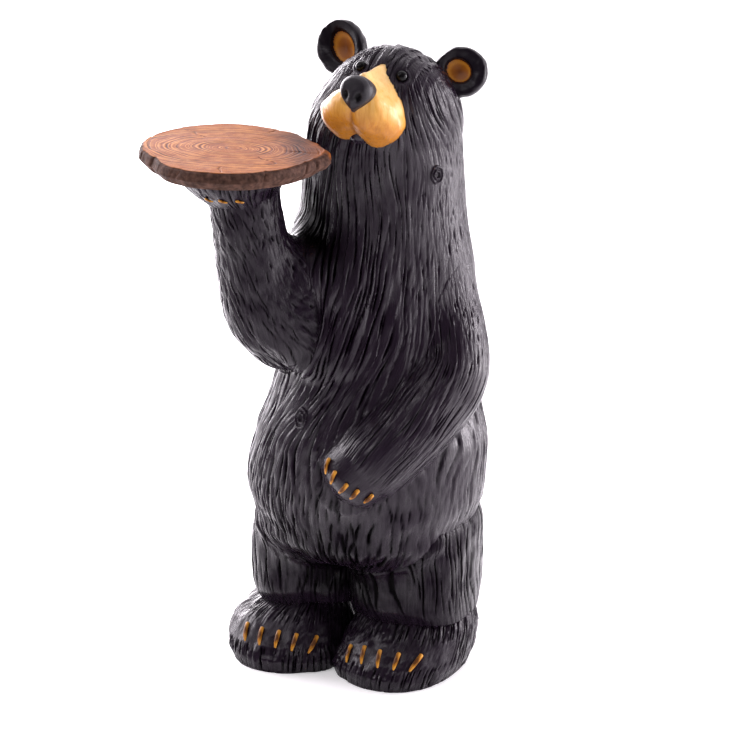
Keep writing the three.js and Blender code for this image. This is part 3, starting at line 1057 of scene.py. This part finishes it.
def makeLimb(name, form, seed, join):
    # an arm along its bent path, joined to the body, with strokes along it and a smooth paw
    theta = turns(form["around"])
    place, scale, past = sections(0, limbRows(form["path"])[-1, 0], form["caps"], form["counts"])
    points = limb(form, theta, place, scale, past)
    along = runAlong(points)
    points = fused(points, lambda at: limbGap(at, form), *join)
    height, groove = strokes(form, theta, along[:, None], seed)
    cuff = 1
    if "smoothFrom" in form:
        cuff = smooth(form["smoothFrom"] + 5, form["smoothFrom"] - 5, place)[:, None]
    fade = smooth(0, 0.4, scale)[:, None] * cuff
    side = flank(points)
    x, y = unrolled(theta, along[:, None], form["columns"])
    pits, pitted = gouged(x, y, form["columns"], flankPits, seed + 5)
    height, groove = height + side * (pits - 0.65 * height), groove + side * (pitted - groove)
    fade = fade * (1 - 0.95 * smooth(530, 560, points[..., 2]) * smooth(24, 3, trunkGap(points)))
    points = raised(points, height * fade - 1.8 * (1 - cuff))
    masks = {"groove": groove * fade + form.get("dull", 0)}
    return closedPiece(name, points, form["columns"] * form["stroke"], along, masks, blackFur)


def besideForearm(points):
    # how far each point is from the trunk and the right shoulder, with a fillet between the two
    return blended(trunkGap(points), limbGap(points, arms["shoulder"]), 30)


makeLimb("bearArm_left", arms["left"], 71, (trunkGap, leftReach))
makeLimb("bearShoulder_right", arms["shoulder"], 81, (trunkGap, webReach))
makeLimb("bearForearm_right", arms["right"], 91, (besideForearm, webReach))

palm = {
    "rows": [
        [660, -100, -160, 45, 46, 46],
        [673, -106, -164, 54, 54, 52],
        [686, -110, -166, 64, 62, 60],
        [697, -111, -167, 68, 66, 63],
        [707.7, -111, -167, 69, 67, 64],
    ],
    "caps": (6, 0),
    "square": 2,
    "counts": (4, 44, 1),
    "around": 300,
    "columns": 72,
    "stroke": 6,
    "cut": {"length": 30, "width": 0.5, "depth": 0.9, "tip": 0.7, "step": 0.5, "wave": 0.8, "broad": 0.8},
}
makeUpright("bearPalm_right", palm, 101, palmFade)

# claws: each place has degrees round the form, the place along it, and degrees that the claw turns aside
# from its middle to its end; "run" is mm from its middle to its tip, and "lift" is mm over the skin
claws = {
    "footRight": {
        "places": [(-21.5, 41, 3.2), (-5.5, 41, 1.5), (7, 41, 0.5), (22.5, 39, -0.5), (40.5, 35, -2.9)],
        "run": -8,
        "half": 3.0,
        "lift": 1.4,
    },
    "footLeft": {
        "places": [(-33, 35, 1.5), (-16, 40, 2), (-1.5, 40, 1.5), (11.5, 40, 0.5), (29, 39, -2.5)],
        "run": -8,
        "half": 3.0,
        "lift": 1.4,
    },
    "paw": {
        "places": [
            (174.5, 427, -6),
            (150, 430, -3),
            (123.5, 429, -1.5),
            (104.5, 423, -2.5),
            (82, 414, -2.5),
        ],
        "run": 7,
        "half": 2.9,
        "lift": 0.6,
    },
    "palm": {
        "places": [(-9.5, 674.5, 3.6), (10.5, 674.5, 3.6), (32.5, 674.5, 3.6)],
        "run": -1.2,
        "half": 1.8,
        "lift": 0.7,
    },
}


def makeClaw(name, form, spot, look):
    # Five sections along the skin, raised most in the middle, round at the top and narrow at the tip: the
    # width follows a quarter circle, and the height falls off with the square of the way from the middle.
    degrees, level, turned = spot
    rows = []
    for t in np.linspace(-1, 1, 5):
        here, normal = skin(form, degrees + turned * t, level + look["run"] * t)
        width = look["half"] * (0.55 + 0.45 * math.sqrt(max(0, 1 - (0.7 * t + 0.3) ** 2)))
        rows.append([*(here + normal * look["lift"] * (1.3 - 0.7 * t * t)), width, 0.8 * width])
    shape = {"path": rows, "across": tuple(np.cross(normal, np.array(rows[4][:3]) - np.array(rows[0][:3])))}
    theta, length = turns(28), limbRows(rows)[-1, 0]
    place, scale, past = sections(0, length, (2, 2), (5, 16, 5))
    points = limb(shape, theta, place, scale, past)
    wash = 0.8 - 1.3 * np.abs(place / length - 0.5)[:, None] + 0.35 * np.cos(theta - 2.4).clip(0, 1)
    return closedPiece(name, points, 16, runAlong(points), {"wash": wash}, clawOchre)


for label, form in (
    ("footRight", {**footLook, **feet["right"]}),
    ("footLeft", {**footLook, **feet["left"]}),
    ("paw", arms["left"]),
    ("palm", palm),
):
    for number, spot in enumerate(claws[label]["places"], 1):
        makeClaw("bearClaw_" + label + str(number), form, spot, claws[label])
print("arms and claws carved")

# rows of muzzle and nose: mm ahead of the head's middle, height of their own middle, half width at the
# top and at the bottom, reach up and reach down
muzzle = {
    "rows": [
        [60, -9, 14, 54, 61, 50],
        [100, -11, 12, 54, 54, 48],
        [122, -9, 8, 45, 41, 39],
        [138, -5, 10, 31, 30, 29],
        [146, -3, 8, 18, 18, 16],
    ],
    "counts": (1, 90, 8),
    "around": 220,
    "beside": 0,
    "skew": 0,  # mm that it leans to the left for each mm up
    "bridge": 8,  # mm that its upper edge bends to the left
    "cleft": 0.22,  # share that the cleft draws in
    "cleftAt": 1,
    "square": {"top": (3.3, 2.4), "bottom": 2.2},
    "draw": (16, 3),  # mm that its right side is taken in above and out below
}
nose = {
    "rows": [
        [126, 2, 20, 3, 18, 20],
        [142, 2, 22, 3, 21, 24],
        [154, 3, 20, 3, 19, 21],
        [160, 4, 13, 3, 12, 12],
    ],
    "counts": (1, 50, 22),
    "around": 120,
    "beside": 6,
    "skew": -0.02,
    "bridge": 0,
    "cleft": 0,
    "cleftAt": 0,
    "square": {"top": (2.2, 2.2), "bottom": 2},
    "draw": (0, 0),
}


def wedge(form, theta, spread):
    # a block along the head's own axis: aside = half * sin, up = middle + reach * cos, where half grows
    # from its top value to its bottom value as spread says on the way down
    start, end = form["rows"][0][0], form["rows"][-1][0]
    place, scale, past = sections(start, end, (0, 0), form["counts"])
    middle, narrow, wide, up, down = through(form["rows"], place).T[:, :, None]
    half = narrow + (wide - narrow) * spread((1 - np.cos(theta)) / 2)
    top = np.interp(place, [start, start + 50], form["square"]["top"])[:, None]
    square = np.where(np.cos(theta) > 0, top, form["square"]["bottom"])
    scale, place = scale[:, None], place[:, None]
    across = half * scale * rounded(np.sin(theta), square)
    right = smooth(0, -24, across)
    drawIn, drawOut = form["draw"]
    notch = form["cleft"] * bell(across - form["cleftAt"], 14) + 0.014 * drawOut * right
    notch = np.where(np.cos(theta) < 0, notch, 0)
    reach = np.where(np.cos(theta) > 0, up, down) * (1 - notch)
    height = middle + reach * scale * rounded(np.cos(theta), square)
    bend = form["bridge"] * (np.clip(height + 5, 0, 48) / 45) ** 2
    aside = form["beside"] + across + form["skew"] * height + bend
    aside = aside + right * (drawIn * smooth(-28, 24, height) - drawOut * smooth(-8, -34, height))
    return np.stack([aside, height, place + 0 * across], -1)


def makeWedge(name, form, spread, modelled, material):
    # a wedge on the head, with the relief and the field that modelled gives it
    local = wedge(form, turns(form["around"]), spread)
    height, masks = modelled(local)
    points = raised(onHead(local), height)
    return closedPiece(name, points, 300, runAlong(points), masks, material)


def muzzleSpread(low):
    # a quarter of a sine wave to the power 1.25, that reaches the full width two thirds of the way down
    return np.sin(np.minimum(1, 1.5 * low) * math.pi / 2) ** 1.25


def noseSpread(low):
    # the way down to the power 3.6, so the nose keeps its width and comes to a point at the bottom
    return low**3.6


def muzzleModel(local):
    # planed cheeks, a valley from the nose down to the cleft, and a colour field that is darker brown low
    # down, at the fur and in the valley, and lighter on top and on the bear's right side, each part of it a
    # step from 0 to 1 times its share; the lighter right side is a painted highlight
    x, y, ahead = np.moveaxis(local, -1, 0)
    valley = bell(x - 3, 4) * smooth(-8, -24, y)
    planes = 1.1 * softNoise(x / 17, (y + 0.4 * ahead) / 15, 8)
    planes = planes + 0.9 * softNoise((x + y) / 22, ahead / 14, 9)
    wash = 0.22 + 0.5 * smooth(-5, -46, y) + 0.45 * smooth(84, 66, ahead) + 0.2 * valley
    # lighter on top, and lighter on the bear's right side as a painted highlight
    wash = wash - 0.22 * smooth(0, 34, y) - 0.08 * smooth(0, -30, x)
    return planes - 1.3 * valley, {"wash": wash}


def noseModel(local):
    # a front domed as a circle of 21 mm, and two comma-shaped nostrils, each a bell across and a bell up
    x, y, ahead = np.moveaxis(local, -1, 0)
    middle = 6 - 0.02 * y
    holes = 0 * x
    for side in (-1, 1):
        holes = holes + bell(x - middle - side * (8.5 + 0.25 * y), 3) * bell(y + 3, 4.6)
    holes = holes * smooth(148, 156, ahead)
    dome = 4.2 * np.sqrt(np.clip(1 - (np.hypot(x - middle, y - 2) / 21) ** 2, 0, 1))
    # painted shade: the nostril hollows are also set darker in colour
    return dome * smooth(146, 158, ahead) - 6 * holes, {"groove": np.clip(1.4 * holes, 0, 1)}


makeWedge("bearMuzzle", muzzle, muzzleSpread, muzzleModel, ochre)
makeWedge("bearNose", nose, noseSpread, noseModel, noseBlack)

eyeRadius = 7.5
chin = {"middle": (0, -42, 88), "radius": 16}  # a ball of fur that fills in under the muzzle


def makeBall(name, centre, radius, material, *where):
    # centre + radius * (sin phi * cos theta, sin phi * sin theta, cos phi)
    theta = turns(64)
    phi = np.linspace(0, math.pi, 40)[:, None]
    unit = np.stack([np.sin(phi) * np.cos(theta), np.sin(phi) * np.sin(theta), np.cos(phi) + 0 * theta], -1)
    points = centre + radius * unit
    return closedPiece(name, points, 40, runAlong(points), {}, material, *where)


makeBall("beadEye_right", eyeMiddles[0], eyeRadius, bead, "eye_right", "eye_gloss")
makeBall("beadEye_left", eyeMiddles[1], eyeRadius, bead, "eye_left", "eye_gloss")
makeBall("bearChin", onHead(np.array(chin["middle"])), chin["radius"], blackFur)

# ears, with values for the right one (-1) and the left one (1), in mm from the head's middle
ears = {
    "beside": {-1: 87, 1: 82.5},
    "above": {-1: 58.5, 1: 62},
    "ahead": 4,
    "turn": 9,  # degrees that they face outward
    "half": {-1: (33, 34), 1: (32, 31.5)},
    "base": 0.24,  # how much broader toward the head
    "tall": {-1: 0.14, 1: -0.1},  # how much taller the dish is
    "slant": {-1: 0.35, 1: 0.1},
    "profile": [
        [0, 0, -19],
        [1, 0.62, -18],
        [2, 0.92, -11],
        [3, 1, -1],
        [4, 0.95, 6],
        [5, 0.86, 8],
        [6, 0.58, 4],
        [7, 0.47, -2],
        [8, 0, -8],
    ],  # stage, share of the half sizes, mm ahead: 0 behind, 4 on the rim, 8 in the middle of the dish
    "rows": 60,
    "around": 120,
}


def makeEar(name, side, form):
    # A dish: the profile swept round an oval, half * share * (sin theta, cos theta), with a broad foot on
    # the head, turned by the cosine and sine of its angle.
    theta = turns(form["around"])
    stage = np.linspace(0, 8, form["rows"])
    profile = through(form["profile"], stage)
    stage, reach, depth = stage[:, None], np.maximum(profile[:, :1], 0), profile[:, 1:]
    reach[[0, -1]] = 0
    toHead = np.clip(-0.81 * side * np.sin(theta) - 0.58 * np.cos(theta), 0, 1)
    spread = 1 + form["base"] * toHead**2 * smooth(5, 4, stage)
    inside = smooth(4, 6, stage)
    x = reach * spread * form["half"][side][0] * np.sin(theta)
    y = reach * spread * form["half"][side][1] * np.cos(theta)
    y = y * (1 + form["tall"][side] * inside)
    x = x - inside * (side * 5 + form["slant"][side] * y)
    a = math.radians(side * form["turn"])
    spun = [
        x * math.cos(a) + depth * math.sin(a) + side * form["beside"][side],
        y + form["above"][side],
        depth * math.cos(a) - x * math.sin(a) + form["ahead"],
    ]
    points = onHead(np.stack(spun, -1))
    planes = 0.9 * softNoise(4 * reach * np.sin(theta) + 9, 4 * reach * np.cos(theta) + stage, 17 + side)
    # painted light and shade across the dish: the cosine term shifts its colour one way on one side and the
    # other way on the other
    inner = np.where(stage > 5, reach, 1) + 0.16 * reach * np.cos(theta + 0.5) * smooth(7.0, 7.4, stage)
    carved = raised(points, planes * smooth(6.2, 5.4, stage))
    return closedPiece(name, carved, 200, runAlong(points), {"inner": inner}, earSkin)


makeEar("bearEar_right", -1, ears)
makeEar("bearEar_left", 1, ears)


def boss(name, middle, out, up, half, lift):
    # a small oval skin let into a surface: at share r of its half sizes and angle a it stands lift(r, a)
    # mm above its middle, and its back lies 7 mm under the surface
    side = np.cross(up, out)
    side /= np.linalg.norm(side)
    rise = np.cross(out, side)
    a = turns(72)
    r = np.concatenate([np.linspace(0, 1, 32), [1, 0]])[:, None]
    height = lift(r, a) + 0 * a * r
    height[-2:] = -7
    height[0] = height[0].mean()
    across, along = (half[0] * r * np.sin(a))[..., None], (half[1] * r * np.cos(a))[..., None]
    points = middle + side * across + rise * along + out * height[..., None]
    # painted shade: the colour is darker where the skin sinks below its middle, in the socket round each
    # eye and where a knot's rim sinks into the fur
    groove = np.clip(-height / 2, 0, 1)
    return closedPiece(name, points, 60, runAlong(points), {"groove": groove}, blackFur)


def eyelid(r, a):
    # mm above the bead's middle: a bowl behind the bead, a lid round it and a slope down to the fur
    return np.interp(r, [0, 0.46, 0.56, 0.66, 0.8, 1], [-5, -4, 0.2, 0.4, -0.8, -4])


def knotRings(r, a):
    # a worn knot: three uneven rings round a small hole, with a rim that sinks into the fur
    wavy = r + 0.06 * np.sin(2 * a + 1) + 0.03 * np.sin(5 * a)
    return 1.6 + 1.2 * np.cos(turn * 2.6 * wavy) - 3.2 * bell(r, 0.18) - 4.4 * smooth(0.78, 1, r)


upwards = np.array([0, 0, 1.0])
for number, (degrees, level, half) in enumerate(knots, 1):
    middle, out = skin(trunk, degrees, level)
    boss("bearKnot_" + str(number), middle, out, upwards, half, knotRings)
lidHalf = (15, 14)
for side, eye in zip(("right", "left"), eyeMiddles):
    # the lid faces away from a point inside the head, a third as far aside as the eye
    behind = np.array([(eye - headCentre) @ headAxes[0] * 0.35, 6.0, 0.0])
    out = eye - onHead(behind)
    boss("bearEyelid_" + side, eye, out / np.linalg.norm(out), headAxes[1], lidHalf, eyelid)
print("face made")

tray = {
    "centre": (-111, -167),
    "radii": [122, 129, 124, 118, 108, 118, 131, 126, 114, 107],  # evenly round from the front
    "around": 480,
    "width": 750,
    "ridges": 30,
    "cut": {"length": 30, "width": 0.16, "depth": 1.6, "tip": 1.7, "step": 0.6},
    "cracks": [
        (-125, 60, 120),
        (175, 84, 120),
        (100, 70, 118),
        (62, 50, 96),
        (20, 88, 120),
    ],  # degrees from the front, and mm from the middle where it starts and ends
}


def makeTray(form):
    # A thick slice: a smooth curve through the radii, times the share that the profile gives. The bark has
    # ridges, a wavy outline and a bulge, and each crack is a bell across its line.
    theta = turns(form["around"])
    count = len(form["radii"])
    rows = [[i - 2, form["radii"][(i - 2) % count]] for i in range(count + 5)]
    edge = through(rows, np.mod(theta / turn + 1, 1) * count)[..., 0]
    low, high = [corner[2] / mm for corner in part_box("tray")]
    profile = np.array(
        [
            [0, 0, low, 0],
            [1, 1, low, -4],
            [2, 1, low + 9.9, 4],
            [3, 1, high - 2.5, 1.5],
            [4, 1, high, -2.5],
            [5, 0, high, 0],
        ]
    )  # stage, share of the radius, height, mm out: 0 and 5 in the middle, 1 to 4 up the edge
    s = np.concatenate([np.linspace(0, 1, 6), np.linspace(1, 4, 50)[1:], np.linspace(4, 5, 74)[1:]])
    share, z, out = [np.interp(s, profile[:, 0], profile[:, k])[:, None] for k in (1, 2, 3)]
    s = s[:, None]
    ridges = form["ridges"]
    x = (theta / turn + 0.5) * ridges
    wavyX = x + 0.3 * softNoise(x / 3, z / 14, 4, ridges // 3)
    bark = gouged(wavyX, z + 0 * theta, ridges, form["cut"], 5)[0]
    bark = (bark + 0.5 * softNoise(x * 2, z / 9, 6, ridges * 2)) * smooth(1, 1.3, s) * smooth(4.1, 3.98, s)
    edge = edge + 2.6 * softNoise(x / 2, 0 * x, 14, ridges // 2)
    edge = edge + 0.8 * softNoise(x * 1.5, 0 * x, 18, ridges * 3 // 2)
    edge = edge + 5 * bell(theta - 1.74, 0.16) * smooth(1, 1.4, s) * smooth(4, 3.4, s)
    radius = share * (edge + out) + bark
    top = smooth(3.96, 4.015, s)
    cracks = 0 * radius
    for angle, near, far in form["cracks"]:
        aside = np.mod(theta - math.radians(angle) + math.pi, turn) - math.pi + 0.02 * np.sin(radius / 5)
        reach = smooth(near, near + 14, radius) * smooth(far + 4, far, radius)
        cracks = cracks + bell(aside * radius, 1) * reach
    swell = softNoise(4 * np.sin(theta) * share + 8, 4 * np.cos(theta) * share + 8, 7)
    dips = top * (0.5 * swell - 0.5 - cracks)
    acrossX, acrossY = radius * np.sin(theta), -radius * np.cos(theta)
    points = np.stack([form["centre"][0] + acrossX, form["centre"][1] + acrossY, z + dips], -1)
    toBack = 0.85 * acrossX + 0.53 * acrossY
    worn = 2.1 * bell(s - 3.92, 0.17) * (0.6 + 0.4 * softNoise(x, z / 9, 21, ridges))
    chip = 2.4 * bell(theta - 1.86, 0.08) * bell(s - 3.1, 0.7)
    # darker toward the bear: partly a darker stain, partly painted shade of the bear; darker in the cracks:
    # painted shade
    masks = {
        "bark": np.clip(1 - top + 0 * radius, 0, 1),
        "deep": np.clip(smooth(42, 92, toBack) + 0.9 * top * cracks, 0, 1),
        "worn": worn + chip,
    }
    along = runAlong(points)
    return closedPiece("traySlice", points, form["width"], along, masks, woodSlice, "tray", "tray_wood")


makeTray(tray)
print("tray made")


def makeFloor():
    # a wide sheet of white paper that gives off a little light of its own
    material, tree = newMaterial("paperSweep")
    shader = addNode(
        tree,
        "ShaderNodeBsdfPrincipled",
        {
            "Base Color": linear("#fefefe"),
            "Roughness": 0.6,
            "Emission Color": linear("#ffffff"),
            "Emission Strength": 0.3,
        },
    )
    addNode(tree, "ShaderNodeOutputMaterial", links={"Surface": shader.outputs[0]})
    mesh = bpy.data.meshes.new("floor")
    mesh.from_pydata([(-9, -9, 0), (9, -9, 0), (9, 9, 0), (-9, 9, 0)], [], [(0, 1, 2, 3)])
    mesh.materials.append(material)
    floor = bpy.data.objects.new("floor", mesh)
    bpy.context.scene.collection.objects.link(floor)


def aim(thing, target):
    # a lamp and a camera both look down their own -Z
    thing.rotation_euler = (Vector(target) - thing.location).to_track_quat("-Z", "Y").to_euler()


def softBox(name, place, target, size, power, tint):
    # an area lamp, sizes in metres and power in watts
    lamp = bpy.data.lights.new(name, "AREA")
    lamp.shape, lamp.size, lamp.size_y, lamp.energy = "RECTANGLE", size[0], size[1], power
    lamp.color = tint
    box = bpy.data.objects.new(name, lamp)
    box.location = place
    bpy.context.scene.collection.objects.link(box)
    aim(box, target)


studio = {
    "dark": 0.15,  # strength of the world overhead and on the camera's side
    "bright": 1.8,  # and behind
    "toward": (-0.12, 0.86, 0.5),  # the brightest direction
    "tint": (1, 0.94, 1),
    "boxes": [
        ("keyBox", (-1.7, -1.7, 2.3), (0, 0, 0.5), (1.0, 1.0), 18),
        ("topBox", (-0.3, -1.3, 3.1), (0, 0, 0.4), (0.6, 0.6), 10),
        ("rightBox", (2.4, 0.35, 0.8), (0.1, 0, 0.45), (2.4, 1.7), 44),
        ("leftBox", (-2.7, 0.35, 1.15), (0, 0, 0.3), (1.9, 1.5), 85),
        ("rimRight", (2.1, 1.7, 0.8), (0.05, 0, 0.45), (0.5, 1.6), 60),
        ("rimLeft", (-2.1, 1.9, 1.0), (-0.05, 0, 0.3), (1.3, 2.0), 120),
    ],
}
shot = {"azimuth": 24, "pitch": 18.5, "distance": 3.7, "target": (0.010, 0.0045, 0.395), "lens": 134.4}


def makeStudio(setting, view):
    # The world is brightest toward one direction: its strength follows the dot product of that and the
    # view. The camera stands at its distance from the target, at its azimuth and pitch.
    scene = bpy.context.scene
    world = bpy.data.worlds.new("studio")
    world.use_nodes = True
    tree = world.node_tree
    sky = addNode(tree, "ShaderNodeTexCoord")
    lift = addNode(
        tree,
        "ShaderNodeVectorMath",
        {"operation": "DOT_PRODUCT", 1: Vector(setting["toward"]).normalized()},
        {0: sky.outputs["Generated"]},
    )
    strength = addNode(
        tree,
        "ShaderNodeMapRange",
        {"From Min": 0, "From Max": 0.85, "To Min": setting["dark"], "To Max": setting["bright"]},
        {"Value": lift.outputs["Value"]},
    )
    tree.nodes["Background"].inputs[0].default_value = (*setting["tint"], 1)
    tree.links.new(strength.outputs[0], tree.nodes["Background"].inputs[1])
    scene.world = world
    for box in setting["boxes"]:
        softBox(*box, setting["tint"])
    a, e = math.radians(view["azimuth"]), math.radians(view["pitch"])
    back = Vector((math.sin(a) * math.cos(e), -math.cos(a) * math.cos(e), math.sin(e)))
    camera = bpy.data.objects.new("camera", bpy.data.cameras.new("camera"))
    camera.data.lens = view["lens"]
    camera.data.sensor_width = 36
    camera.data.clip_end = 60
    camera.location = Vector(view["target"]) + back * view["distance"]
    scene.collection.objects.link(camera)
    aim(camera, view["target"])
    scene.camera = camera
    scene.view_settings.view_transform = "Standard"


makeFloor()
makeStudio(studio, shot)
